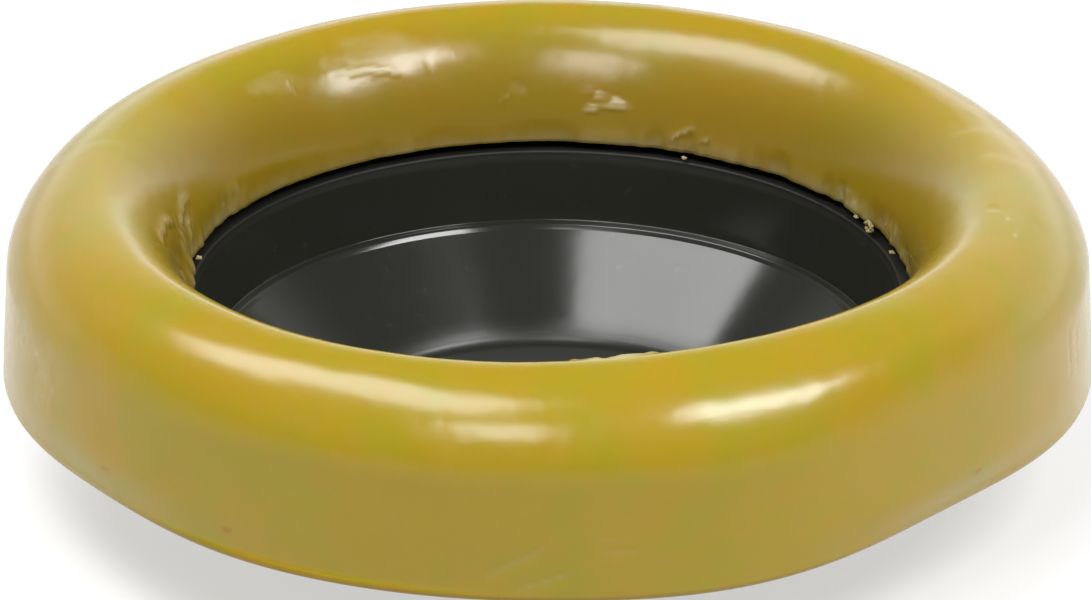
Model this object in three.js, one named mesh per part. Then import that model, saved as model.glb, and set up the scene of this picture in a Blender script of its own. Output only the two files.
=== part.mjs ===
// Toilet pan seal: a bowl ring of wax, moulded round a black plastic sleeve that guides the waste
// into the drain. Millimetres, +Z up. The origin is under the middle, level with the spout's end.
import * as THREE from "three";

// Sleeve, measured on its inside and from the spout's end up
const spoutRadius = 28; // inside, at the spout's end
const spoutFlare = 0.4; // how much wider the spout is where it meets the cone
const spoutLength = 5.4;
const coneRise = 10.5;
const coneRun = 11.6; // how much the cone widens on its way up
const riserRise = 0.6; // steeper band at the cone's top
const riserRun = 0.5;
const ledgeWidth = 1; // flat step between the riser and the collar
const collarRise = 8.8;
const collarFlare = 1.9; // how much wider the collar is at its rim
const sleeveWall = 1.5;
const flangeReach = 7.5; // how far the rim's flange runs out into the wax
const flangeThickness = 1.5;

// Rounding of the sleeve's edges
const endEdge = 0.35;
const outletEdge = 2.2; // where the cone rolls over into the spout
const bendEdge = 0.25; // where the cone turns up into the riser
const ledgeEdge = 0.5;
const creaseEdge = 0.25;
const rimEdge = 0.6;

// Wax ring, measured out from its lip and up from its base
const lipSetback = 1.4; // how far the lip stays back from the sleeve's rim
const lipThickness = 0.6;
const lipLift = 0.7; // the wax stands off the flange at the lip by this much more
const lipLiftRun = 2.5; // and lies on it again this far out
const throatRun = 10; // from the lip out to the highest circle
const shoulderRun = 11.2; // from the highest circle out to the wall
const shoulderDrop = 10.8; // from the highest circle down to the wall
const wallDraft = 0.7; // how far the wall leans out on its way down
const waxHeight = 25.4;
const baseEdge = 1;
const throatFullness = 1.55; // 2 is an ellipse, more is squarer
const shoulderFullness = 2;

// Soft wax has slumped a little out of round: where, over how wide an arc, and how far out
const slumps = [
  { bearing: 0, spread: 20, swell: 0.5 },
  { bearing: 220, spread: 18, swell: -0.8 },
  { bearing: 288, spread: 12, swell: 0.6 },
  { bearing: 320, spread: 18, swell: -1.1 },
];

const clearance = 0.3; // between the sleeve and the wax round it
const turns = 72; // facets round a full circle
const arcSteps = 2;
const slopeSteps = 8;

// Where the two pieces meet
const coneLevel = spoutLength + coneRise;
const ledgeLevel = coneLevel + riserRise;
const rimLevel = ledgeLevel + collarRise;
const outletRadius = spoutRadius + spoutFlare;
const coneRadius = outletRadius + coneRun;
const footRadius = coneRadius + riserRun + ledgeWidth;
const rimRadius = footRadius + collarFlare;
const waxBase = ledgeLevel - sleeveWall; // level with the underside of the ledge
const flangeUnderside = rimLevel - flangeThickness;

const waxMaterial = new THREE.MeshStandardMaterial({ color: 0xa8933c, roughness: 0.42, metalness: 0 });
const sleeveMaterial = new THREE.MeshStandardMaterial({ color: 0x2a2b28, roughness: 0.3, metalness: 0 });

const point = (radius, height) => new THREE.Vector2(radius, height);

// Where two lines cross, each given by a point on it and its direction.
function crossing(from, along, other, otherAlong) {
  const share = other.clone().sub(from).cross(otherAlong) / along.cross(otherAlong);
  return from.clone().addScaledVector(along, share);
}

// The open outline moved to its right by a distance, with its corners kept sharp.
function offsetOutline(outline, distance) {
  const sides = outline.slice(1).map((end, i) => {
    const along = end.clone().sub(outline[i]).normalize();
    const out = point(along.y, -along.x).multiplyScalar(distance);
    return { along, from: outline[i].clone().add(out), to: end.clone().add(out) };
  });
  const corners = sides.slice(1).map((next, i) => {
    const side = sides[i];
    return crossing(side.from, side.along, next.from, next.along);
  });
  return [sides[0].from, ...corners, sides.at(-1).to];
}

// The radius of the line through two points at a given height.
function radiusAt(low, high, height) {
  return THREE.MathUtils.mapLinear(height, low.y, high.y, low.x, high.x);
}

// A corner rounded to a radius that its two sides still leave room for.
function roundedCorner(before, corner, after, radius) {
  const back = before.clone().sub(corner);
  const ahead = after.clone().sub(corner);
  const halfAngle = Math.acos(back.dot(ahead) / (back.length() * ahead.length())) / 2;
  const room = Math.min(back.length(), ahead.length()) / 2;
  const setback = Math.min(radius / Math.tan(halfAngle), room);
  const start = corner.clone().addScaledVector(back.normalize(), setback);
  const end = corner.clone().addScaledVector(ahead.normalize(), setback);
  const bisector = back.add(ahead).normalize();
  const centre = corner.clone().addScaledVector(bisector, setback / Math.cos(halfAngle));
  const startAngle = start.sub(centre).angle();
  const sweep = Math.PI - 2 * halfAngle;
  const turn = Math.sign(start.cross(end.sub(centre))) * sweep;
  const reach = start.length();
  return Array.from({ length: arcSteps + 1 }, (_, i) => {
    const angle = startAngle + (turn * i) / arcSteps;
    return point(centre.x + reach * Math.cos(angle), centre.y + reach * Math.sin(angle));
  });
}

// A closed outline of corners, each { at, edge }, with every edge of more than nothing rounded.
function roundedOutline(corners) {
  return corners.flatMap(({ at, edge }, i) => {
    const before = corners.at(i - 1).at;
    const after = corners[(i + 1) % corners.length].at;
    return edge ? roundedCorner(before, at, after, edge) : [at];
  });
}

// A quarter of a superellipse, from where it stands upright to its top, both ends included.
function quarterCurve(upright, top, fullness) {
  return Array.from({ length: slopeSteps + 1 }, (_, i) => {
    const angle = ((Math.PI / 2) * i) / slopeSteps;
    const across = Math.cos(angle) ** (2 / fullness);
    const up = Math.sin(angle) ** (2 / fullness);
    return point(top.x + (upright.x - top.x) * across, upright.y + (top.y - upright.y) * up);
  });
}

// The solid that an outline, up its inside and down its outside, makes when it is turned about +Z.
function turned(outline) {
  return new THREE.LatheGeometry([...outline, outline[0]].reverse(), turns).rotateX(Math.PI / 2);
}

// The sleeve's inside from the spout's end up to its rim, as sharp corners.
function sleeveInside() {
  return [
    point(spoutRadius, 0),
    point(outletRadius, spoutLength),
    point(coneRadius, coneLevel),
    point(coneRadius + riserRun, ledgeLevel),
    point(footRadius, ledgeLevel),
    point(rimRadius, rimLevel),
  ];
}

const insideEdges = [endEdge, outletEdge, bendEdge, ledgeEdge, creaseEdge, rimEdge];
const outsideEdges = [endEdge, outletEdge + sleeveWall, bendEdge, creaseEdge, ledgeEdge];

// The flange lies between the collar's outside and this radius.
const flangeRadius = rimRadius + sleeveWall + flangeReach;

function makeSleeve() {
  const inside = sleeveInside();
  const outside = offsetOutline(inside, sleeveWall);
  const spoutFoot = point(radiusAt(outside[0], outside[1], 0), 0);
  const underFlange = point(radiusAt(outside[4], outside[5], flangeUnderside), flangeUnderside);
  const outline = roundedOutline([
    ...inside.map((at, i) => ({ at, edge: insideEdges[i] })),
    { at: point(flangeRadius, rimLevel), edge: endEdge },
    { at: point(flangeRadius, flangeUnderside), edge: endEdge },
    { at: underFlange, edge: creaseEdge },
    ...[spoutFoot, ...outside.slice(1, 5)].map((at, i) => ({ at, edge: outsideEdges[i] })).reverse(),
  ]);
  const sleeve = new THREE.Mesh(turned(outline), sleeveMaterial);
  sleeve.name = "funnel_sleeve";
  return sleeve;
}

// How far the outside of the wax stands out of round at a bearing in degrees.
function slumpAt(bearing) {
  return slumps.reduce((sum, { bearing: middle, spread, swell }) => {
    const away = THREE.MathUtils.euclideanModulo(bearing - middle + 180, 360) - 180;
    return sum + swell * Math.exp(-((away / spread) ** 2));
  }, 0);
}

// Moves the wall of the wax out by its slump, and leaves all that lies inside a radius still.
function slump(geometry, stillRadius, ridge, shoulder) {
  const position = geometry.getAttribute("position");
  for (let i = 0; i < position.count; i++) {
    const [x, y, z] = [position.getX(i), position.getY(i), position.getZ(i)];
    const radius = Math.hypot(x, y);
    const outward = THREE.MathUtils.smoothstep(radius, stillRadius, shoulder.x);
    const low = 1 - THREE.MathUtils.smoothstep(z, shoulder.y, ridge.y);
    const grown = 1 + (outward * low * slumpAt(THREE.MathUtils.radToDeg(Math.atan2(y, x)))) / radius;
    position.setXY(i, x * grown, y * grown);
  }
  geometry.computeVertexNormals();
}

function makeWaxRing() {
  const bore = offsetOutline(sleeveInside().slice(4), sleeveWall + clearance);
  const slotFloor = flangeUnderside - clearance;
  const slotRoof = rimLevel + clearance;
  const slotRadius = flangeRadius + clearance;
  const lip = point(rimRadius + lipSetback, slotRoof + lipLift + lipThickness);
  const ridge = point(lip.x + throatRun, waxBase + waxHeight);
  const shoulder = point(ridge.x + shoulderRun, ridge.y - shoulderDrop);
  const baseRadius = shoulder.x + wallDraft;
  const throat = quarterCurve(lip, ridge, throatFullness);
  const wall = quarterCurve(shoulder, ridge, shoulderFullness).reverse().slice(1);
  const outline = roundedOutline([
    { at: point(baseRadius, waxBase), edge: baseEdge },
    { at: point(radiusAt(bore[0], bore[1], waxBase), waxBase), edge: 0 },
    { at: point(radiusAt(bore[0], bore[1], slotFloor), slotFloor), edge: 0 },
    { at: point(slotRadius, slotFloor), edge: 0 },
    { at: point(slotRadius, slotRoof), edge: 0 },
    { at: point(lip.x + lipLiftRun, slotRoof), edge: 0 },
    { at: point(lip.x, slotRoof + lipLift), edge: 0 },
    ...[...throat, ...wall].map((at) => ({ at, edge: 0 })),
  ]);
  const geometry = turned(outline);
  slump(geometry, Math.max(ridge.x, slotRadius), ridge, shoulder);
  const wax = new THREE.Mesh(geometry, waxMaterial);
  wax.name = "wax_ring";
  return wax;
}

const panSeal = new THREE.Group();
panSeal.add(makeSleeve(), makeWaxRing());

export default panSeal;
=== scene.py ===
"""Looks of a toilet pan seal: a wax bowl ring with a black plastic funnel sleeve moulded into it.

The ring's and the sleeve's fine surfaces are built here, in metres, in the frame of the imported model,
and they stand for the plain solids there. Lengths are written in millimetres and turned into metres
where a mesh is made.
"""

import logging
import math
from dataclasses import dataclass
from enum import Enum
from typing import Any, Iterable, Sequence

import bmesh
import bpy
import numpy as np
from mathutils import Matrix, Vector, noise


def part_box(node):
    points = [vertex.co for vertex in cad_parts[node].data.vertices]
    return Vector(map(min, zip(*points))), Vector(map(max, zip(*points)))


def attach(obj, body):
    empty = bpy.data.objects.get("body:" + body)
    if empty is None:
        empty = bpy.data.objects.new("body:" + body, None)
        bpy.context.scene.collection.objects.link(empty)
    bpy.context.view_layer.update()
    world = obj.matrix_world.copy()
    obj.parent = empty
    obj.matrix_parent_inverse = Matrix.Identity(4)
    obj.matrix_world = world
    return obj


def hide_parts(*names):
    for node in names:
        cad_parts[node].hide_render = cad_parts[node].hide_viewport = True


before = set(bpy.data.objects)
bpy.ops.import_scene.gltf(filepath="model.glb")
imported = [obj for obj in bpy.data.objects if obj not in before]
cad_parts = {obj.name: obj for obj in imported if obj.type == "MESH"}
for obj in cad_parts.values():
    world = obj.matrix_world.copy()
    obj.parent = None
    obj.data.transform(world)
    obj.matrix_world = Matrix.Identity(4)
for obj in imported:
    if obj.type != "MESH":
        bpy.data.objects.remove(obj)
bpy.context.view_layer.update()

log = logging.getLogger("pan_seal")

MM = 0.001
BODY = "root"
NOISE_SHIFT = (17.3, 5.1, 9.7)  # from one layer of noise to the next
ROUNDING_ROOM = 0.49  # the share of its shorter side that a rounding may take
CURVE_POINTS = 200  # along a quarter curve, before it is set out evenly


class Slot(Enum):
    """The record's material slots."""

    WAX = "wax"
    BLACK_PLASTIC = "black_plastic"


def srgb(red: int, green: int, blue: int) -> tuple[float, float, float, float]:
    """A colour given in screen values, as the linear colour that a shader takes.

    Args:
        red: Red from 0 to 255.
        green: Green from 0 to 255.
        blue: Blue from 0 to 255.

    Returns:
        Linear red, green and blue, with an alpha of one.
    """

    def linear(value: int) -> float:
        """One channel in linear light."""
        share = value / 255
        return share / 12.92 if share <= 0.04045 else ((share + 0.055) / 1.055) ** 2.4

    return (linear(red), linear(green), linear(blue), 1.0)


def smooth(low: float, high: float, values: np.ndarray | float) -> np.ndarray:
    """A smooth step from nought at low to one at high.

    Args:
        low: Where the step starts. It may lie above high, for a step down.
        high: Where the step ends.
        values: The numbers to take through the step.

    Returns:
        The stepped numbers, from nought to one.
    """
    share = np.clip((np.asarray(values, float) - low) / (high - low), 0, 1)
    return share * share * (3 - 2 * share)


def noise_field(points: np.ndarray, wavelength: float, layer: int = 0) -> np.ndarray:
    """Smooth noise at some points, the same on each run.

    Args:
        points: Places in millimetres, any shape that ends in three.
        wavelength: The rough size of its bumps in millimetres.
        layer: Which of many unlike noises to take.

    Returns:
        Values from about minus one to one, in the shape of the points.
    """
    shift = Vector([step * layer for step in NOISE_SHIFT])
    flat = (points.reshape(-1, 3) / wavelength).tolist()
    values = [noise.noise(Vector(p) + shift) for p in flat]
    return np.array(values).reshape(points.shape[:-1])


@dataclass(frozen=True)
class Ripple:
    """Noise over a surface: the size of its bumps in millimetres, and how much it adds."""

    size: float
    amount: float
    layer: int


def round_axis(radii: Any, bearings: np.ndarray, heights: np.ndarray) -> np.ndarray:
    """The points at some radii, bearings in radians and heights."""
    return np.stack([radii * np.cos(bearings), radii * np.sin(bearings), heights], axis=-1)


def ripples_at(ripples: Iterable[Ripple], points: np.ndarray) -> np.ndarray:
    """What some ripples add up to at some points."""
    return sum(ripple.amount * noise_field(points, ripple.size, ripple.layer) for ripple in ripples)


def rounded_corner(
    before: np.ndarray, corner: np.ndarray, after: np.ndarray, radius: float, steps: int
) -> np.ndarray:
    """The arc that rounds a corner of an outline.

    Args:
        before: The corner before it, as radius and height.
        corner: The corner itself.
        after: The corner after it.
        radius: The rounding, which the two sides may limit.
        steps: How many chords the arc has.

    Returns:
        The arc's points, from the side before to the side after.
    """
    back, ahead = before - corner, after - corner
    back_length, ahead_length = np.linalg.norm(back), np.linalg.norm(ahead)
    back, ahead = back / back_length, ahead / ahead_length
    half_angle = math.acos(float(np.clip(back @ ahead, -1, 1))) / 2
    setback = min(radius / math.tan(half_angle), ROUNDING_ROOM * min(back_length, ahead_length))
    centre = corner + (back + ahead) / np.linalg.norm(back + ahead) * setback / math.cos(half_angle)
    start = corner + back * setback - centre
    end = corner + ahead * setback - centre
    turn = math.atan2(start[0] * end[1] - start[1] * end[0], float(start @ end))
    angles = np.linspace(0, turn, steps + 1)
    cosines, sines = np.cos(angles)[:, None], np.sin(angles)[:, None]
    across = np.array([-start[1], start[0]])
    return centre + start * cosines + across * sines


def rounded_outline(corners: Sequence[tuple[float, float, float]], steps: int) -> np.ndarray:
    """A closed outline with its corners rounded.

    Args:
        corners: Radius, height and rounding of each corner.
        steps: How many chords each arc has.

    Returns:
        The outline's points as radius and height.
    """
    places = [np.array(corner[:2]) for corner in corners]
    arcs = []
    for i, (_, _, rounding) in enumerate(corners):
        after = places[(i + 1) % len(places)]
        arcs.append(rounded_corner(places[i - 1], places[i], after, rounding, steps))
    return np.concatenate(arcs)


def even_run(points: np.ndarray, count: int) -> np.ndarray:
    """A line of points set out again at even distances.

    Args:
        points: The line, as radius and height.
        count: How many points to set out, both ends included.

    Returns:
        The new points.
    """
    runs = np.concatenate([[0], np.cumsum(np.linalg.norm(np.diff(points, axis=0), axis=1))])
    wanted = np.linspace(0, runs[-1], count)
    return np.stack([np.interp(wanted, runs, points[:, k]) for k in (0, 1)], axis=1)


def quarter_curve(upright: Sequence[float], top: Sequence[float], fullness: float) -> np.ndarray:
    """A quarter of a superellipse, from where it stands upright to its top.

    Args:
        upright: Radius and height of its upright end.
        top: Radius and height of its level end.
        fullness: Two for an ellipse, more for a squarer curve.

    Returns:
        Its points as radius and height.
    """
    angles = np.linspace(0, math.pi / 2, CURVE_POINTS)
    across = np.cos(angles).clip(0) ** (2 / fullness)
    up = np.sin(angles) ** (2 / fullness)
    radii = top[0] + (upright[0] - top[0]) * across
    return np.stack([radii, upright[1] + (top[1] - upright[1]) * up], axis=1)


class Signal:
    """A shader's number, with arithmetic that adds Math nodes."""

    def __init__(self, shader: "Shader", socket: bpy.types.NodeSocket) -> None:
        """Wraps an output socket of a shader's tree."""
        self.shader = shader
        self.socket = socket

    def _maths(self, operation: str, first: Any, second: Any) -> "Signal":
        """A Math node's result from two numbers or signals."""
        made = self.shader.node("ShaderNodeMath", {"operation": operation}, {0: first, 1: second})
        return Signal(self.shader, made.outputs[0])

    def __add__(self, other: Any) -> "Signal":
        """This plus another."""
        return self._maths("ADD", self, other)

    __radd__ = __add__

    def __rsub__(self, other: Any) -> "Signal":
        """Another less this."""
        return self._maths("SUBTRACT", other, self)

    def __mul__(self, other: Any) -> "Signal":
        """This times another."""
        return self._maths("MULTIPLY", self, other)

    __rmul__ = __mul__

    def step(self, low: float, high: float) -> "Signal":
        """A smooth step of this number.

        Args:
            low: Where the step is at nought.
            high: Where it is at one.

        Returns:
            The stepped number.
        """
        inputs = {"Value": self, "From Min": low, "From Max": high}
        made = self.shader.node("ShaderNodeMapRange", {"interpolation_type": "SMOOTHSTEP"}, inputs)
        return Signal(self.shader, made.outputs["Result"])


@dataclass(frozen=True)
class Grain:
    """Noise in a finish: its largest blotches in millimetres, and how many finer layers, how strong."""

    size: float
    detail: float = 3.0
    roughness: float = 0.55


@dataclass(frozen=True)
class Clouding:
    """Soft blotches of another colour, from where the noise starts to show to where it is full."""

    colour: tuple[float, ...]
    grain: Grain
    start: float
    full: float
    share: float


@dataclass
class Shader:
    """A node tree with the few ways of adding nodes that the finishes use."""

    tree: bpy.types.NodeTree

    def node(
        self, kind: str, settings: dict[str, Any] | None = None, inputs: dict[Any, Any] | None = None
    ) -> bpy.types.Node:
        """Adds one node.

        Args:
            kind: The node's type.
            settings: Its properties.
            inputs: Its sockets by name or place, each a number, a colour, a signal or an output socket.

        Returns:
            The node.
        """
        made = self.tree.nodes.new(kind)
        for name, value in (settings or {}).items():
            setattr(made, name, value)
        for name, value in (inputs or {}).items():
            value = value.socket if isinstance(value, Signal) else value
            if isinstance(value, bpy.types.NodeSocket):
                self.tree.links.new(value, made.inputs[name])
            else:
                made.inputs[name].default_value = value
        return made

    def place(self) -> bpy.types.NodeSocket:
        """Where a point lies on the object, in metres."""
        return self.node("ShaderNodeTexCoord").outputs["Object"]

    def cloud(self, grain: Grain) -> Signal:
        """Noise over the object.

        Args:
            grain: Which noise.

        Returns:
            The noise, from about nought to one.
        """
        inputs = {
            "Vector": self.place(),
            "Scale": 1 / (grain.size * MM),
            "Detail": grain.detail,
            "Roughness": grain.roughness,
        }
        return Signal(self, self.node("ShaderNodeTexNoise", None, inputs).outputs["Fac"])

    def painted(self, name: str) -> Signal:
        """A number that the mesh holds at each of its points."""
        return Signal(self, self.node("ShaderNodeAttribute", {"attribute_name": name}).outputs["Fac"])

    def mix(self, share: Any, first: Any, second: Any) -> bpy.types.NodeSocket:
        """One colour turned into another by a share from nought to one."""
        settings = {"data_type": "RGBA", "clamp_factor": True}
        return self.node("ShaderNodeMix", settings, {"Factor": share, 6: first, 7: second}).outputs[2]

    def clouded(self, colour: Any, clouding: Clouding) -> bpy.types.NodeSocket:
        """A colour with blotches of another.

        Args:
            colour: The colour so far.
            clouding: The blotches.

        Returns:
            The new colour.
        """
        cloud = self.cloud(clouding.grain).step(clouding.start, clouding.full)
        return self.mix(cloud * clouding.share, colour, clouding.colour)

    def bump(self, height: Signal, depth: float, below: Any = None) -> bpy.types.NodeSocket:
        """A normal roughened by a height.

        Args:
            height: The height, from nought to one.
            depth: What a height of one stands for, in millimetres.
            below: The normal of a coarser bump to add it to.

        Returns:
            The normal.
        """
        inputs = {"Height": height, "Distance": depth * MM, "Strength": 1.0}
        if below is not None:
            inputs["Normal"] = below
        return self.node("ShaderNodeBump", None, inputs).outputs["Normal"]

    def dress(self, inputs: dict[str, Any]) -> None:
        """Makes a material's surface and puts it out."""
        surface = self.node("ShaderNodeBsdfPrincipled", None, inputs)
        self.node("ShaderNodeOutputMaterial", None, {"Surface": surface.outputs[0]})


def new_shader(name: str) -> tuple[bpy.types.Material, Shader]:
    """A material with an empty tree.

    Args:
        name: The material's name.

    Returns:
        The material and its shader.
    """
    material = bpy.data.materials.new(name)
    material.use_nodes = True
    material.node_tree.nodes.clear()
    return material, Shader(material.node_tree)


@dataclass(frozen=True)
class WaxFinish:
    """Olive-yellow petroleum wax: clouded, a little translucent, frosted where it was rubbed, with painted
    shade at the throat and base edge and painted sheen on top.
    """

    body: tuple[float, ...] = srgb(154, 130, 22)
    warm: Clouding = Clouding(srgb(160, 129, 23), Grain(34, 2), start=0.38, full=0.62, share=0.5)
    green: Clouding = Clouding(srgb(143, 134, 22), Grain(11), start=0.4, full=0.66, share=0.7)
    tan: Clouding = Clouding(srgb(158, 130, 40), Grain(3.2, 3, 0.6), start=0.42, full=0.66, share=0.35)
    # Painted shade: the wax darkens to this colour down the throat towards the lip, and along the base edge
    # as a painted contact shadow.
    shade_tint: tuple[float, ...] = srgb(116, 89, 18)
    shade_tint_share: float = 0.62
    # Pale frost where the wax was rubbed; it is also laid on the top at the ring's ends as a painted sheen.
    frost: tuple[float, ...] = srgb(196, 186, 148)
    grime: tuple[float, ...] = srgb(140, 84, 20)
    grime_share: float = 0.6
    fine: Grain = Grain(1.6, 3, 0.6)
    skin: Grain = Grain(5, 2)
    skin_depth: float = 0.05
    pores: Grain = Grain(0.5, 2)
    pore_depth: float = 0.006
    polish: float = 0.17
    fine_roughness: float = 0.07
    frost_roughness: float = 0.3
    refraction: float = 1.44
    glow_depth: tuple[float, ...] = (1.0, 0.62, 0.16)
    glow_reach: float = 2.2
    glow_share: float = 0.22

    def material(self) -> bpy.types.Material:
        """Makes the wax.

        Returns:
            The material.
        """
        material, shader = new_shader("olive_wax")
        fine = shader.cloud(self.fine)
        frost_and_sheen = shader.painted("frost")
        colour = self.body
        for clouding in (self.warm, self.green, self.tan):
            colour = shader.clouded(colour, clouding)
        # Painted shade: darker down the throat towards the lip and along the base edge.
        colour = shader.mix(shader.painted("painted_shade") * self.shade_tint_share, colour, self.shade_tint)
        # Frost where the wax was rubbed, and painted sheen on the top at the ring's ends.
        colour = shader.mix(frost_and_sheen * (0.7 + 0.5 * fine), colour, self.frost)
        colour = shader.mix(shader.painted("grime") * self.grime_share, colour, self.grime)
        roughness = self.polish + self.fine_roughness * fine + self.frost_roughness * frost_and_sheen
        skin = shader.bump(shader.cloud(self.skin), self.skin_depth)
        inputs = {
            "Base Color": colour,
            "Roughness": roughness,
            "IOR": self.refraction,
            "Subsurface Weight": self.glow_share,
            "Subsurface Radius": self.glow_depth,
            "Subsurface Scale": self.glow_reach * MM,
            "Normal": shader.bump(shader.cloud(self.pores), self.pore_depth, skin),
        }
        shader.dress(inputs)
        return material


@dataclass(frozen=True)
class SleeveFinish:
    """Black polyethylene straight from the mould: smooth, half glossy, faintly scuffed, with painted shade
    at its rim under the wax lip.
    """

    body: tuple[float, ...] = srgb(35, 36, 31)
    scuffs: Grain = Grain(2.4, 4, 0.65)
    dust: Clouding = Clouding(srgb(86, 84, 74), scuffs, start=0.62, full=0.8, share=0.25)
    # Painted shade: the rim's top, under the wax lip, darkens to this colour.
    shaded: tuple[float, ...] = srgb(12, 12, 10)
    shaded_from: float = 0.6
    broad: Grain = Grain(18, 2)
    skin: Grain = Grain(3, 2)
    skin_depth: float = 0.008
    polish: float = 0.11
    scuff_roughness: float = 0.04
    broad_roughness: float = 0.03
    worn_roughness: float = 0.4
    refraction: float = 1.42

    def material(self) -> bpy.types.Material:
        """Makes the plastic.

        Returns:
            The material.
        """
        material, shader = new_shader("black_polyethylene")
        worn = shader.painted("worn")
        colour = shader.clouded(self.body, self.dust)
        roughness = self.polish + self.scuff_roughness * shader.cloud(self.scuffs)
        roughness += self.broad_roughness * shader.cloud(self.broad) + self.worn_roughness * worn
        inputs = {
            # Painted shade at the rim, where the worn share passes its step; the outlet is only made duller.
            "Base Color": shader.mix(worn.step(self.shaded_from, 1.0), colour, self.shaded),
            "Roughness": roughness,
            "IOR": self.refraction,
            "Normal": shader.bump(shader.cloud(self.skin), self.skin_depth),
        }
        shader.dress(inputs)
        return material


@dataclass(frozen=True)
class FloorFinish:
    """The pale top of a light table, dimmer to the left and in front. It hardly shows a shadow."""

    body: tuple[float, ...] = (0.42, 0.42, 0.42, 1.0)
    lit: tuple[float, ...] = (1.0, 1.0, 1.0, 1.0)
    unlit: tuple[float, ...] = (0.6, 0.6, 0.6, 1.0)
    glow: float = 0.55
    left_edge: tuple[float, float] = (-110, -76)
    front_edge: tuple[float, float] = (-120, -62)
    roughness: float = 0.9
    specular: float = 0.1

    def material(self) -> bpy.types.Material:
        """Makes the floor's top.

        Returns:
            The material.
        """
        material, shader = new_shader("pale_table")
        ways = shader.node("ShaderNodeSeparateXYZ", None, {0: shader.place()}).outputs
        left, front = [[limit * MM for limit in edge] for edge in (self.left_edge, self.front_edge)]
        lit = Signal(shader, ways["X"]).step(*left) * Signal(shader, ways["Y"]).step(*front)
        inputs = {
            "Base Color": self.body,
            "Roughness": self.roughness,
            "Specular IOR Level": self.specular,
            "Emission Color": shader.mix(lit, self.unlit, self.lit),
            "Emission Strength": self.glow,
        }
        shader.dress(inputs)
        return material


def new_object(name: str, data: bpy.types.ID) -> bpy.types.Object:
    """An object in the scene.

    Args:
        name: Its name.
        data: Its mesh, light or camera.

    Returns:
        The object.
    """
    made = bpy.data.objects.new(name, data)
    bpy.context.scene.collection.objects.link(made)
    return made


def turned_mesh(name: str, points: np.ndarray) -> bpy.types.Object:
    """A closed skin through rows of points that go round the axis.

    Args:
        name: The object's name.
        points: Points in millimetres, by place on the outline and then by place round the axis.

    Returns:
        The object, with smooth faces that point outwards for an outline that turns left.
    """
    rows, columns = points.shape[:2]
    index = np.arange(rows * columns).reshape(rows, columns)
    beyond = np.roll(index, -1, axis=0)
    corners = [index, np.roll(index, -1, axis=1), np.roll(beyond, -1, axis=1), beyond]
    faces = np.stack(corners, axis=-1).reshape(-1, 4)
    mesh = bpy.data.meshes.new(name)
    mesh.from_pydata((points.reshape(-1, 3) * MM).tolist(), [], faces.tolist())
    mesh.shade_smooth()
    return new_object(name, mesh)


def paint(piece: bpy.types.Object, name: str, values: np.ndarray) -> None:
    """Writes a number at each point of a mesh, for its material to read."""
    layer = piece.data.attributes.new(name, "FLOAT", "POINT")
    layer.data.foreach_set("value", values.astype(np.float32).ravel())


def hand_over(
    piece: bpy.types.Object, material: bpy.types.Material, nodes: Iterable[str] = ()
) -> None:
    """Dresses a piece, lets it ride, and puts it in place of the solids that it stands for.

    Args:
        piece: The piece.
        material: Its material.
        nodes: The solids' names.
    """
    piece.data.materials.append(material)
    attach(piece, BODY)
    for node in nodes:
        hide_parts(node)
    log.info("%s: %d faces", piece.name, len(piece.data.polygons))


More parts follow.
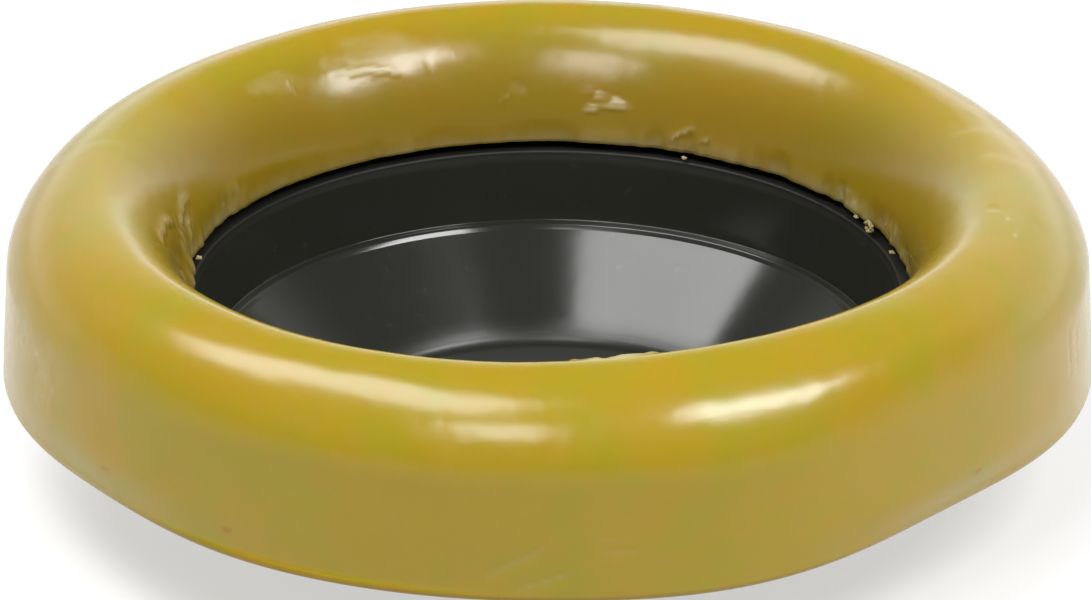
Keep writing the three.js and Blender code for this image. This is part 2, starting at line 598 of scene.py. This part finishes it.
@dataclass
class FunnelSleeve:
    """The black plastic sleeve, as radii and heights in millimetres from its spout's end up."""

    spout_radius: float = 28.0
    spout_flare: float = 0.4
    spout_length: float = 5.4
    cone_rise: float = 10.5
    cone_run: float = 11.6
    riser_rise: float = 0.6
    riser_run: float = 0.5
    ledge_width: float = 1.0
    collar_rise: float = 8.8
    collar_flare: float = 1.9
    wall: float = 1.5
    flange_reach: float = 7.5
    flange_thickness: float = 1.5
    end_edge: float = 0.35
    outlet_edge: float = 2.2
    bend_edge: float = 0.25
    ledge_edge: float = 0.5
    crease_edge: float = 0.25
    rim_edge: float = 0.35
    facets: int = 320
    arc_steps: int = 5
    longest_side: float = 1.5
    warp: Ripple = Ripple(23, 0.05, 3)
    warp_from: tuple[float, float] = (0.5, 3.0)
    # The rim's dulling also carries its painted shade.
    dull_shaded_rim: tuple[float, float] = (1.6, 0.6)
    dull_outlet: float = 2.5
    outlet_dullness: float = 0.5

    @property
    def outlet_radius(self) -> float:
        """Inside radius where the cone meets the spout."""
        return self.spout_radius + self.spout_flare

    @property
    def cone_radius(self) -> float:
        """Inside radius at the cone's top."""
        return self.outlet_radius + self.cone_run

    @property
    def cone_level(self) -> float:
        """Height of the cone's top."""
        return self.spout_length + self.cone_rise

    @property
    def ledge_level(self) -> float:
        """Height of the ledge."""
        return self.cone_level + self.riser_rise

    @property
    def foot_radius(self) -> float:
        """Inside radius at the collar's foot."""
        return self.cone_radius + self.riser_run + self.ledge_width

    @property
    def rim_radius(self) -> float:
        """Inside radius at the rim."""
        return self.foot_radius + self.collar_flare

    @property
    def rim_level(self) -> float:
        """Height of the rim."""
        return self.ledge_level + self.collar_rise

    def inside(self) -> list[tuple[float, float, float]]:
        """The inside's corners from the spout's end up.

        Returns:
            Radius, height and rounding of each.
        """
        return [
            (self.spout_radius, 0.0, self.end_edge),
            (self.outlet_radius, self.spout_length, self.outlet_edge),
            (self.cone_radius, self.cone_level, self.bend_edge),
            (self.cone_radius + self.riser_run, self.ledge_level, self.ledge_edge),
            (self.foot_radius, self.ledge_level, self.crease_edge),
            (self.rim_radius, self.rim_level, self.rim_edge),
        ]

    def outside(self) -> list[tuple[float, float, float]]:
        """The outside's corners from the rim down.

        Returns:
            Radius, height and rounding of each.
        """
        flange_radius = self.rim_radius + self.wall + self.flange_reach
        underside = self.rim_level - self.flange_thickness
        inner = np.array([corner[:2] for corner in self.inside()])
        along = np.diff(inner, axis=0)
        along /= np.linalg.norm(along, axis=1)[:, None]
        offset = np.stack([along[:, 1], -along[:, 0]], axis=1) * self.wall
        corners = []
        for i in range(1, len(inner) - 1):
            sides = np.stack([along[i - 1], -along[i]], axis=1)
            share = np.linalg.solve(sides, inner[i] + offset[i] - inner[i - 1] - offset[i - 1])
            corners.append(inner[i - 1] + offset[i - 1] + along[i - 1] * share[0])
        outlet, bend, ledge, foot = corners
        under_flange = foot + along[-1] * (underside - foot[1]) / along[-1][1]
        spout_foot = outlet - along[0] * outlet[1] / along[0][1]
        return [
            (flange_radius, self.rim_level, self.end_edge),
            (flange_radius, underside, self.end_edge),
            (*under_flange, self.crease_edge),
            (*foot, self.ledge_edge),
            (*ledge, self.crease_edge),
            (*bend, self.bend_edge),
            (*outlet, self.outlet_edge + self.wall),
            (*spout_foot, self.end_edge),
        ]

    def outline(self) -> np.ndarray:
        """The closed outline, with its longer straights divided.

        Returns:
            Its points as radius and height, turning left.
        """
        corners = self.inside() + self.outside()
        outline = rounded_outline(corners, self.arc_steps)[::-1]
        divided = []
        for start, end in zip(outline, np.roll(outline, -1, axis=0)):
            parts = max(1, round(float(np.linalg.norm(end - start)) / self.longest_side))
            divided += [start + (end - start) * k / parts for k in range(parts)]
        return np.array(divided)

    def build(self, finish: SleeveFinish) -> None:
        """Makes the sleeve.

        Args:
            finish: The plastic.
        """
        outline = self.outline()
        bearings = np.linspace(0, 2 * math.pi, self.facets, endpoint=False)
        radii = outline[:, :1] + 0 * bearings
        heights = outline[:, 1:] + 0 * bearings
        points = round_axis(radii, bearings, heights)
        warp = ripples_at([self.warp], points) * smooth(*self.warp_from, points[..., 2])
        points[..., :2] *= (1 + warp / radii)[..., None]
        piece = turned_mesh("funnel_sleeve_fine", points)
        outlet = smooth(self.spout_length + self.dull_outlet, self.spout_length, heights)
        # The rim is made duller and, in the material, takes painted shade under the wax lip.
        rim = smooth(*(self.rim_level - depth for depth in self.dull_shaded_rim), heights)
        paint(piece, "worn", self.outlet_dullness * outlet + rim)
        hand_over(piece, finish.material(), ["funnel_sleeve"])


MARK_MARGIN = 1.6  # how far a mark may reach past its own length
ROUGH_SIZE, ROUGH_LAYERS = 1.1, 20  # the noises that fray the marks, each with a layer for every mark
COARSE_SIZE, COARSE_LAYERS = 3.0, 40
STREAK_LAYERS = 60
MARK_EDGE = (1.0, 0.5)  # where a mark is gone and where it is whole, as shares of its half size
FLAKE_RAMP, FLAKE_FOLD, FLAKE_ENDS = (1.1, -0.3), (-0.55, -0.3), (1.05, 0.5)


class Relief(Enum):
    """How a mark on the wax is shaped."""

    DENT = "dent"
    FLAKE = "flake"
    SMEAR = "smear"
    CRUSH = "crush"
    GROOVE = "groove"
    SPOT = "spot"


@dataclass(frozen=True)
class Mark:
    """A mark on the wax, placed by bearing and by where it lies on the ring's section.

    Angles are in degrees and lengths in millimetres, with the height from the wax's base. The turn is
    from level, the frost is how pale the mark is, and the bend curves a flake's fold.
    """

    relief: Relief
    bearing: float
    radius: float
    height: float
    half_length: float
    half_width: float
    rise: float
    turn: float = 0.0
    frost: float = 0.0
    bend: float = 0.0


@dataclass(frozen=True)
class Lobe:
    """A stretch of the ring that differs from the rest, with its bearing and spread in degrees."""

    bearing: float
    spread: float
    amount: float


def lobes_at(lobes: Iterable[Lobe], bearings: np.ndarray) -> np.ndarray:
    """What some lobes add up to at some bearings.

    Args:
        lobes: The lobes, in degrees.
        bearings: Where to add them up, in degrees.

    Returns:
        The sum at each bearing.
    """
    total = np.zeros_like(bearings)
    for lobe in lobes:
        away = (bearings - lobe.bearing + 180) % 360 - 180
        total += lobe.amount * np.exp(-((away / lobe.spread) ** 2))
    return total


# Relief, bearing, radius, height, half length, half width, rise, turn, frost and bend of each mark
WAX_MARKS: tuple[Mark, ...] = (
    Mark(Relief.SMEAR, 115, 50.4, 23.6, 7.0, 2.4, 0.02, 4, 0.26),
    Mark(Relief.SMEAR, 121, 49.4, 22.4, 4.5, 1.5, 0.02, 16, 0.2),
    Mark(Relief.FLAKE, 118, 48.4, 21.4, 7.0, 1.0, 0.09, 10, 0.36, 0.5),
    Mark(Relief.FLAKE, 108, 48.2, 21.2, 1.4, 0.8, 0.05, 60, 0.3),
    Mark(Relief.SMEAR, 134, 49.6, 23.0, 6.0, 1.8, 0.03, 12, 0.2),
    Mark(Relief.FLAKE, 131, 49.0, 22.0, 1.3, 0.5, 0.10, 75, 0.3),
    Mark(Relief.FLAKE, 81, 45.9, 17.0, 3.2, 0.6, 0.14, 14, 0.36, 0.3),
    Mark(Relief.FLAKE, 80.5, 45.5, 15.6, 3.6, 0.8, 0.24, -8, 0.5, 0.5),
    Mark(Relief.DENT, 94.5, 46.3, 17.6, 1.3, 0.7, 0.10, 20, 0.12),
    Mark(Relief.FLAKE, 96.5, 46.1, 17.0, 1.2, 0.6, 0.10, -30, 0.14),
    Mark(Relief.FLAKE, 67.5, 45.1, 13.6, 2.2, 0.9, 0.28, -30, 0.34, 0.3),
    Mark(Relief.FLAKE, 63, 45.2, 13.2, 1.2, 0.6, 0.25, -20, 0.3),
    Mark(Relief.FLAKE, 181, 47.4, 18.8, 6.0, 1.6, 0.3, 10, 0.34, 0.4),
    Mark(Relief.FLAKE, 168, 46.2, 17.0, 4.0, 1.4, 0.2, -12, 0.26, 0.4),
    Mark(Relief.CRUSH, 172, 45.0, 14.8, 6.0, 2.6, 0.3, 0, 0.3),
    Mark(Relief.CRUSH, 188, 45.2, 15.2, 5.0, 2.6, 0.3, 0, 0.34),
    Mark(Relief.CRUSH, 152, 45.3, 14.0, 4.0, 1.4, 0.16, 0, 0.22),
    Mark(Relief.CRUSH, 15, 45.0, 13.4, 5.0, 1.4, 0.22, 0, 0.3),
    Mark(Relief.CRUSH, 30, 44.9, 12.8, 5.0, 1.1, 0.18, 0, 0.25),
    Mark(Relief.DENT, 350, 54.6, 25.4, 1.1, 0.7, 0.16, 0, 0.1),
    Mark(Relief.FLAKE, 347.5, 57.0, 25.0, 1.4, 0.5, 0.12, 15, 0.3),
    Mark(Relief.FLAKE, 345, 58.5, 24.4, 1.6, 0.6, 0.12, -10, 0.3),
    Mark(Relief.FLAKE, 281, 52.6, 25.0, 4.4, 0.9, 0.34, -8, 0.6, 0.2),
    Mark(Relief.FLAKE, 275, 53.4, 25.2, 2.4, 0.8, 0.24, 10, 0.45),
    Mark(Relief.SMEAR, 14, 58.0, 24.8, 7.0, 2.0, 0.04, 70, 0.22),
    Mark(Relief.SMEAR, 22, 60.0, 24.0, 6.0, 1.8, 0.04, 55, 0.2),
    Mark(Relief.SMEAR, 6, 57.0, 25.2, 5.0, 1.6, 0.04, 80, 0.2),
    Mark(Relief.SMEAR, 170, 58.0, 24.8, 6.0, 2.0, 0.04, -70, 0.16),
    Mark(Relief.CRUSH, 203, 66.0, 10.6, 6.0, 6.0, 0.05, 0, 0.3),
    Mark(Relief.CRUSH, 196, 66.0, 13.6, 5.0, 5.0, 0.05, 0, 0.28),
    Mark(Relief.GROOVE, 267, 66.4, 4.9, 4.6, 0.5, 0.22, 28, 0.5),
    Mark(Relief.GROOVE, 270, 66.5, 3.0, 4.0, 0.45, 0.2, 20, 0.5),
    Mark(Relief.GROOVE, 277, 66.5, 8.3, 3.4, 0.45, 0.12, -4, 0.2),
    Mark(Relief.GROOVE, 277.5, 66.5, 6.6, 3.0, 0.4, 0.12, -2, 0.2),
    Mark(Relief.SPOT, 217, 65.7, 4.5, 0.9, 0.6, 0.0),
    Mark(Relief.SPOT, 235, 66.1, 3.6, 1.1, 0.45, 0.0),
    Mark(Relief.SPOT, 322, 65.4, 4.8, 1.0, 0.6, 0.0),
    Mark(Relief.GROOVE, 342.5, 66.0, 10.5, 4.0, 0.45, 0.14, 90, 0.25),
    Mark(Relief.GROOVE, 345, 66.2, 10.0, 3.5, 0.45, 0.12, 90, 0.25),
    Mark(Relief.SMEAR, 344, 66.2, 9.0, 3.0, 5.0, 0.03, 0, 0.3),
)


@dataclass
class WaxRing:
    """The wax ring, in millimetres, with its levels from the spout's end and its heights from its base."""

    base_level: float
    rim_radius: float
    rim_level: float
    flange_radius: float
    wax_height: float = 25.4
    lip_setback: float = 0.7
    lip_thickness: float = 0.6
    lip_lift: float = 0.7
    lip_lift_run: float = 2.5
    clearance: float = 0.3
    throat_run: float = 10.7
    shoulder_run: float = 11.2
    shoulder_drop: float = 10.8
    wall_draft: float = 0.7
    throat_fullness: float = 1.55
    shoulder_fullness: float = 1.72
    base_edge: float = 1.0
    collar_foot: float = 43.0
    bore_flare: float = 1.6
    flange_thickness: float = 1.5
    columns: int = 850
    throat_rows: int = 35
    shoulder_rows: int = 31
    wall_rows: int = 24
    edge_steps: int = 6
    base_rows: int = 12
    bore_rows: int = 4
    slot_rows: int = 3
    underlip_rows: int = 5
    lumps: Sequence[Ripple] = (Ripple(19, 0.13, 1), Ripple(7, 0.05, 2), Ripple(2.2, 0.018, 4))
    slumps: Sequence[Lobe] = (Lobe(0, 20, 0.5), Lobe(218, 18, -0.6), Lobe(288, 12, 0.6), Lobe(320, 18, -1.1))
    undercuts: Sequence[Lobe] = (Lobe(215, 16, 1.2), Lobe(318, 18, 2.2))
    lip_wear: Sequence[Lobe] = (Lobe(175, 28, 0.8), Lobe(20, 28, 0.7), Lobe(68, 12, 0.5))
    lip_creeps: Sequence[Lobe] = (Lobe(184, 14, 0.8), Lobe(356, 20, -0.7))
    sways: Sequence[Lobe] = (Lobe(90, 55, 0.5), Lobe(240, 30, -0.45), Lobe(300, 22, 0.45))
    hollows: Sequence[Lobe] = (Lobe(243, 21, 0.8),)
    # Painted sheen with some frost: pale on the top at the left and right ends, where the softboxes' broad
    # reflection falls.
    sheen_and_frost_lobes: Sequence[Lobe] = (Lobe(192, 17, 0.06), Lobe(352, 16, 0.1))
    sheen_middle: float = -0.05
    sheen_width: tuple[float, float] = (0.55, 0.2)
    sheen_grain: Ripple = Ripple(4.5, 0.4, 9)
    # Painted shade: where the throat's darkening starts and ends, and the painted contact shadow along the
    # base edge.
    shade_margin: float = 1.0
    shade_base: tuple[float, float] = (1.1, 0.3)
    plain_base: float = 1.2
    tears: Sequence[Ripple] = (Ripple(5.5, 0.55, 6), Ripple(1.7, 0.35, 7))
    tear_height: float = 3.0
    tear_reach: float = 2.0
    tear_depth: float = 0.45
    worn_height: float = 7.0
    marks: Sequence[Mark] = WAX_MARKS

    @property
    def lip_radius(self) -> float:
        """Radius of the lip."""
        return self.rim_radius + self.lip_setback

    @property
    def lip_level(self) -> float:
        """Height of the lip's upper edge."""
        return self.rim_level + self.clearance + self.lip_lift + self.lip_thickness

    @property
    def ridge_radius(self) -> float:
        """Radius of the highest circle."""
        return self.lip_radius + self.throat_run

    @property
    def ridge_level(self) -> float:
        """Height of the highest circle."""
        return self.base_level + self.wax_height

    def section(self) -> tuple[np.ndarray, np.ndarray]:
        """The closed outline of the wax, turning left and dense where it shows.

        Returns:
            Its points as radius and height, and which of them show.
        """
        base = self.base_level
        lip = (self.lip_radius, self.lip_level)
        ridge = (self.ridge_radius, self.ridge_level)
        shoulder = (ridge[0] + self.shoulder_run, ridge[1] - self.shoulder_drop)
        base_radius = shoulder[0] + self.wall_draft
        throat = quarter_curve(lip, ridge, self.throat_fullness)
        outer = quarter_curve(shoulder, ridge, self.shoulder_fullness)[::-1]
        foot = np.array([base_radius, base])
        inward = np.array([self.collar_foot, base])
        edge = rounded_corner(np.array(shoulder), foot, inward, self.base_edge, self.edge_steps)
        bore = self.collar_foot + self.clearance
        slot_floor = self.rim_level - self.flange_thickness - self.clearance
        slot_roof = self.rim_level + self.clearance
        slot_radius = self.flange_radius + self.clearance
        collar_top = bore + self.bore_flare
        underlip = np.array([[lip[0] + self.lip_lift_run, slot_roof], [lip[0], slot_roof + self.lip_lift]])
        hidden = [
            even_run(np.array([edge[-1], [bore, base]]), self.base_rows)[1:-1],
            even_run(np.array([[bore, base], [collar_top, slot_floor]]), self.bore_rows)[:-1],
            even_run(np.array([[collar_top, slot_floor], [slot_radius, slot_floor]]), self.slot_rows)[:-1],
            np.array([[slot_radius, slot_floor], [slot_radius, slot_roof]]),
            even_run(underlip, self.underlip_rows),
        ]
        shown = [
            even_run(throat, self.throat_rows),
            even_run(outer, self.shoulder_rows)[1:],
            even_run(np.array([shoulder, edge[0]]), self.wall_rows)[1:],
            edge[1:],
        ]
        points = np.concatenate(shown + hidden)[::-1]
        visible = np.arange(len(points))[::-1] < sum(map(len, shown))
        return points, visible

    def build(self, finish: WaxFinish) -> bpy.types.Object:
        """Makes the ring with its lumps, worn lip and marks.

        Args:
            finish: The wax.

        Returns:
            The ring.
        """
        section, visible = self.section()
        ahead, behind = np.roll(section, -1, axis=0), np.roll(section, 1, axis=0)
        along = (ahead - behind) / np.linalg.norm(ahead - behind, axis=1)[:, None]
        normal = np.stack([along[:, 1], -along[:, 0]], axis=1)
        degrees = np.linspace(0, 360, self.columns, endpoint=False)
        bearings = np.radians(degrees)
        radii = section[:, :1] + 0 * degrees
        heights = section[:, 1:] + 0 * degrees
        surface = round_axis(radii, bearings, heights)
        rise = ripples_at(self.lumps, surface)
        across = (section[:, 0] - self.ridge_radius) / self.shoulder_run
        rise -= (smooth(0, 1, across) * visible)[:, None] * lobes_at(self.hollows, degrees)
        # Painted sheen with some frost on the top at the ring's ends, carried in the frost field.
        top = smooth(*self.sheen_width, np.abs(across - self.sheen_middle)) * visible
        frost = top[:, None] * lobes_at(self.sheen_and_frost_lobes, degrees) * (1 + ripples_at([self.sheen_grain], surface))
        grime = np.zeros_like(radii)
        self._add_marks(section, degrees, surface, rise, frost, grime)
        rise *= (visible * smooth(0, self.plain_base, section[:, 1] - self.base_level))[:, None]
        radii = radii + normal[:, :1] * rise
        heights = heights + normal[:, 1:] * rise
        radii = self._wear_lip(degrees, section, radii, frost)
        radii = self._slump(degrees, section, radii)
        heights = heights + self._sway(degrees, section)
        piece = turned_mesh("wax_ring_fine", round_axis(radii, bearings, heights))
        margin = self.shade_margin
        # Painted shade: darker down the throat towards the lip, and a painted contact shadow along the base
        # edge.
        painted_shade = smooth(self.ridge_radius - margin, self.lip_radius + margin, section[:, 0]) * visible
        painted_shade = np.maximum(painted_shade, smooth(*self.shade_base, section[:, 1] - self.base_level))
        paint(piece, "frost", np.clip(frost, 0, 1))
        paint(piece, "grime", np.clip(grime, 0, 1))
        paint(piece, "painted_shade", painted_shade[:, None] + 0 * radii)
        hand_over(piece, finish.material(), ["wax_ring"])
        return piece

    def _wear_lip(
        self, degrees: np.ndarray, section: np.ndarray, radii: np.ndarray, frost: np.ndarray
    ) -> np.ndarray:
        """Makes the inner lip ragged.

        Args:
            degrees: The columns' bearings.
            section: The section's points.
            radii: The radii so far.
            frost: The frosting, which gains what the raw edge shows.

        Returns:
            The new radii.
        """
        height = section[:, 1]
        near = smooth(self.lip_level + self.tear_height, self.lip_level, height)
        near *= section[:, 0] < self.lip_radius + self.tear_reach
        near *= height > self.rim_level + self.clearance + 0.1
        around = np.radians(degrees)
        torn = ripples_at(self.tears, round_axis(self.lip_radius, around, 0 * around))
        worn = self.tear_depth + lobes_at(self.lip_wear, degrees)
        frost += near[:, None] ** 3 * (0.12 + 0.5 * np.abs(torn)) * np.clip(worn, 0, 1)
        return radii - near[:, None] * (worn * torn + lobes_at(self.lip_creeps, degrees))

    def _slump(self, degrees: np.ndarray, section: np.ndarray, radii: np.ndarray) -> np.ndarray:
        """Takes the wall out of round, and wears its lower edge away.

        Args:
            degrees: The columns' bearings.
            section: The section's points.
            radii: The radii so far.

        Returns:
            The new radii.
        """
        wall_radius = self.ridge_radius + self.shoulder_run
        wall_top = self.ridge_level - self.shoulder_drop
        outward = smooth(self.ridge_radius, wall_radius, section[:, 0])
        low = 1 - smooth(wall_top, self.ridge_level, section[:, 1])
        radii = radii + (outward * low)[:, None] * lobes_at(self.slumps, degrees)
        near_base = smooth(self.worn_height, 0, section[:, 1] - self.base_level) ** 1.5
        return radii - (outward * near_base)[:, None] * lobes_at(self.undercuts, degrees)

    def _sway(self, degrees: np.ndarray, section: np.ndarray) -> np.ndarray:
        """How much higher than level the ring's top stands, for its columns and its section's points."""
        high = smooth(self.ridge_level - self.shoulder_drop, self.ridge_level, section[:, 1])
        return high[:, None] * lobes_at(self.sways, degrees)

    def _add_marks(
        self,
        section: np.ndarray,
        degrees: np.ndarray,
        surface: np.ndarray,
        rise: np.ndarray,
        frost: np.ndarray,
        grime: np.ndarray,
    ) -> None:
        """Adds each mark's relief and colour to the ring's fields.

        Args:
            section: The section's points.
            degrees: The columns' bearings.
            surface: The unmarked surface.
            rise: How far the surface stands out, which is changed.
            frost: How frosted it is, which is changed.
            grime: How stained it is, which is changed.
        """
        steps = np.linalg.norm(np.diff(section, axis=0), axis=1)
        runs = np.concatenate([[0], np.cumsum(steps)])
        for number, mark in enumerate(self.marks):
            middle = np.array([mark.radius, mark.height + self.base_level])
            home = runs[np.argmin(np.linalg.norm(section - middle, axis=1))]
            reach = MARK_MARGIN * max(mark.half_length, mark.half_width)
            rows = np.abs(runs - home) < reach
            away = (degrees - mark.bearing + 180) % 360 - 180
            columns = np.abs(np.radians(away)) * mark.radius < reach
            if not rows.any() or not columns.any():
                continue
            window = np.ix_(rows, columns)
            east = np.radians(away[columns])[None, :] * section[rows, 0][:, None]
            upward = 1 if mark.radius < self.ridge_radius else -1
            north = upward * (home - runs[rows])[:, None] + 0 * east
            turn = math.radians(mark.turn)
            along = (east * math.cos(turn) + north * math.sin(turn)) / mark.half_length
            across = (north * math.cos(turn) - east * math.sin(turn)) / mark.half_width
            patch = surface[window]
            height, paleness, stain = mark_shape(mark, along, across, patch, number)
            rise[window] += mark.rise * height
            frost[window] += mark.frost * paleness
            grime[window] += stain


def mark_shape(
    mark: Mark, along: np.ndarray, across: np.ndarray, places: np.ndarray, layer: int
) -> tuple[np.ndarray, np.ndarray, np.ndarray]:
    """The height, paleness and stain of a mark over its own window.

    Args:
        mark: The mark.
        along: Place along it, from minus one to one.
        across: Place up across it, from minus one to one.
        places: The surface there, in millimetres.
        layer: Which noise it takes.

    Returns:
        Height, paleness and stain, each about nought to one.
    """
    rough = noise_field(places, ROUGH_SIZE, ROUGH_LAYERS + layer)
    coarse = noise_field(places, COARSE_SIZE, COARSE_LAYERS + layer)
    spread = np.sqrt(along**2 + across**2) + 0.35 * coarse + 0.12 * rough
    inside = smooth(*MARK_EDGE, spread)
    nothing = np.zeros_like(inside)
    if mark.relief is Relief.DENT:
        return -inside, 0.5 * inside, nothing
    if mark.relief is Relief.FLAKE:
        fold = across + mark.bend * along**2 + 0.25 * coarse + 0.1 * rough
        ramp = smooth(*FLAKE_RAMP, fold) ** 2 * smooth(*FLAKE_FOLD, fold)
        sides = smooth(*FLAKE_ENDS, np.abs(along) + 0.15 * rough)
        return ramp * sides, ramp**2 * sides, nothing
    if mark.relief is Relief.SMEAR:
        drawn_out = np.stack([along * 1.2, across * 4, 0 * along], axis=-1)
        streaks = noise_field(drawn_out, 1.0, STREAK_LAYERS + layer)
        return inside * (0.5 + 0.4 * streaks), inside * np.clip(0.6 + 0.5 * streaks, 0, 1), nothing
    if mark.relief is Relief.CRUSH:
        return inside * (rough + 0.6 * coarse), inside * np.clip(0.3 + 0.9 * rough, 0, 1), nothing
    if mark.relief is Relief.GROOVE:
        trough = np.exp(-((across * 1.8) ** 2)) * smooth(*MARK_EDGE, np.abs(along))
        return -trough, 0.3 * trough, nothing
    return nothing, nothing, inside


@dataclass(frozen=True)
class Crumb:
    """A crumb of wax that sticks to the worn lip."""

    bearing: float
    radius: float
    height: float
    size: float


@dataclass
class Crumbs:
    """The crumbs on the lip, one piece. Heights are in millimetres from the wax's base.

    The grit is noise of a few frequencies and strengths, shifted by a step from crumb to crumb.
    """

    base_level: float
    places: Sequence[Crumb] = (
        Crumb(27.5, 43.6, 11.3, 0.3),
        Crumb(11.5, 43.6, 11.5, 0.32),
        Crumb(66.2, 43.4, 10.9, 0.3),
        Crumb(170.0, 43.5, 11.3, 0.36),
    )
    curl: Crumb = Crumb(22.4, 43.4, 11.5, 0.8)
    curl_beads: int = 15
    curl_thickness: float = 0.26
    curl_turn: tuple[float, float] = (0.3, 5.6)
    curl_squash: float = 0.7
    squash: float = 0.62
    grit: Sequence[tuple[float, float]] = ((1.1, 0.7), (3.0, 0.3))
    apart: float = 3.1
    frost: float = 0.4

    def curled(self) -> list[Crumb]:
        """The curl of wax that hangs from the lip.

        Returns:
            Its beads.
        """
        curl = self.curl
        beads = []
        for turn in np.linspace(*self.curl_turn, self.curl_beads):
            along = math.degrees(curl.size * math.cos(turn) / curl.radius)
            height = curl.height + self.curl_squash * curl.size * math.sin(turn)
            beads.append(Crumb(curl.bearing + along, curl.radius, height, self.curl_thickness))
        return beads

    def build(self, material: bpy.types.Material) -> None:
        """Makes the crumbs.

        Args:
            material: The ring's own wax.
        """
        form = bmesh.new()
        for number, crumb in enumerate([*self.places, *self.curled()]):
            made = bmesh.ops.create_icosphere(form, subdivisions=3, radius=1.0)
            bearing = math.radians(crumb.bearing)
            middle = Vector((crumb.radius * math.cos(bearing), crumb.radius * math.sin(bearing), 0))
            middle.z = crumb.height + self.base_level
            for vertex in made["verts"]:
                shift = Vector((number * self.apart, 0, 0))
                lump = 1 + sum(part * noise.noise(vertex.co * pitch + shift) for pitch, part in self.grit)
                squashed = Vector((vertex.co.x, vertex.co.y, vertex.co.z * self.squash))
                vertex.co = (middle + squashed * lump * crumb.size) * MM
        mesh = bpy.data.meshes.new("wax_crumbs")
        form.to_mesh(mesh)
        form.free()
        mesh.shade_smooth()
        piece = new_object("wax_crumbs", mesh)
        paint(piece, "frost", np.full(len(mesh.vertices), self.frost))
        paint(piece, "grime", np.zeros(len(mesh.vertices)))
        # The crumbs take the full painted shade of the lip.
        paint(piece, "painted_shade", np.ones(len(mesh.vertices)))
        hand_over(piece, material)


@dataclass(frozen=True)
class Softbox:
    """A studio light that hangs level and shines down, with its place and size in metres."""

    name: str
    place: tuple[float, float, float]
    width: float
    height: float
    radiance: float
    turn: float = 0.0

    def hang(self, middle: Vector) -> None:
        """Hangs the light.

        Args:
            middle: The object's middle, which its place is taken from.
        """
        light = bpy.data.lights.new(self.name, "AREA")
        light.shape = "RECTANGLE"
        light.size = self.width
        light.size_y = self.height
        light.energy = self.radiance * math.pi * self.width * self.height
        turn = Matrix.Rotation(math.radians(self.turn), 4, "Z")
        lamp = new_object(self.name, light)
        lamp.matrix_world = Matrix.Translation(middle + Vector(self.place)) @ turn


@dataclass
class Studio:
    """The floor, the lights and the camera."""

    middle: Vector
    base_level: float
    floor_size: float = 8.0
    camera_elevation: float = 24.1
    camera_distance: float = 1067.2
    camera_lens: float = 286.0
    camera_sensor: float = 36.0
    aim_up: float = 8.14
    aim_right: float = -0.07
    softboxes: Sequence[Softbox] = (
        Softbox("left_softbox", (-0.522, -0.022, 1.0), 0.93, 0.36, 10.6, turn=-38),
        Softbox("right_softbox", (0.76, -0.39, 1.0), 0.76, 0.28, 22.0, turn=10),
        Softbox("front_fill", (-0.24, -0.80, 1.0), 0.40, 0.42, 11.0),
    )
    room_light: float = 0.18
    wall_light: float = 0.45
    wall_light_at_right: float = 0.45
    horizon_light: float = 0.6
    behind: tuple[float, float] = (0.05, 0.7)
    right: tuple[float, float] = (-0.9, 0.1)
    wall_top: tuple[float, float] = (0.45, 0.75)
    horizon_top: tuple[float, float] = (0.04, 0.3)

    def lay_floor(self) -> None:
        """Lays the pale floor."""
        half = self.floor_size / 2
        mesh = bpy.data.meshes.new("floor")
        corners = [(-half, -half, 0), (half, -half, 0), (half, half, 0), (-half, half, 0)]
        mesh.from_pydata(corners, [], [(0, 1, 2, 3)])
        mesh.materials.append(FloorFinish().material())
        new_object("floor", mesh)

    def light(self) -> None:
        """Hangs the softboxes, and lights the room: pale low down, most of all behind and at the right."""
        for softbox in self.softboxes:
            softbox.hang(self.middle)
        world = bpy.data.worlds.new("studio")
        world.use_nodes = True
        world.node_tree.nodes.clear()
        bpy.context.scene.world = world
        shader = Shader(world.node_tree)
        way = shader.node("ShaderNodeTexCoord").outputs["Generated"]
        parts = shader.node("ShaderNodeSeparateXYZ", None, {0: way})
        behind = Signal(shader, parts.outputs["Y"]).step(*self.behind)
        height = Signal(shader, parts.outputs["Z"])
        low, lowest = 1 - height.step(*self.wall_top), 1 - height.step(*self.horizon_top)
        right = Signal(shader, parts.outputs["X"]).step(*self.right)
        wall = (self.wall_light + self.wall_light_at_right * right) * (behind * low)
        strength = self.room_light + wall + self.horizon_light * lowest
        background = shader.node("ShaderNodeBackground", None, {"Color": (1, 1, 1, 1), "Strength": strength})
        shader.node("ShaderNodeOutputWorld", None, {"Surface": background.outputs[0]})

    def set_camera(self) -> None:
        """Puts the camera where the photograph was taken from."""
        tilt = math.radians(self.camera_elevation)
        ahead = Vector((0, math.cos(tilt), -math.sin(tilt)))
        up = Vector((0, math.sin(tilt), math.cos(tilt)))
        aim = Vector((self.aim_right, 0, self.base_level)) + up * self.aim_up
        camera = new_object("camera", bpy.data.cameras.new("camera"))
        camera.location = (aim - ahead * self.camera_distance) * MM
        camera.rotation_euler = (math.pi / 2 - tilt, 0, 0)
        camera.data.lens = self.camera_lens
        camera.data.sensor_width = self.camera_sensor
        bpy.context.scene.camera = camera
        bpy.context.scene.view_settings.view_transform = "Standard"


def main() -> None:
    """Builds the pieces in order and dresses the studio."""
    logging.basicConfig(level=logging.INFO, format="%(message)s")
    wax_low, wax_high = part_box("wax_ring")
    sleeve_low, sleeve_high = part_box("funnel_sleeve")
    base_level = wax_low[2] / MM
    sleeve = FunnelSleeve()
    sleeve.build(SleeveFinish())
    ring = WaxRing(
        base_level=base_level,
        rim_radius=sleeve.rim_radius,
        rim_level=sleeve_high[2] / MM,
        flange_radius=sleeve_high[0] / MM,
        wax_height=(wax_high[2] - wax_low[2]) / MM,
    )
    wax = ring.build(WaxFinish())
    Crumbs(base_level).build(wax.data.materials[0])
    middle = Vector((0, 0, (sleeve_low[2] + wax_high[2]) / 2))
    studio = Studio(middle, base_level)
    studio.lay_floor()
    studio.light()
    studio.set_camera()


if __name__ == "__main__":
    main()
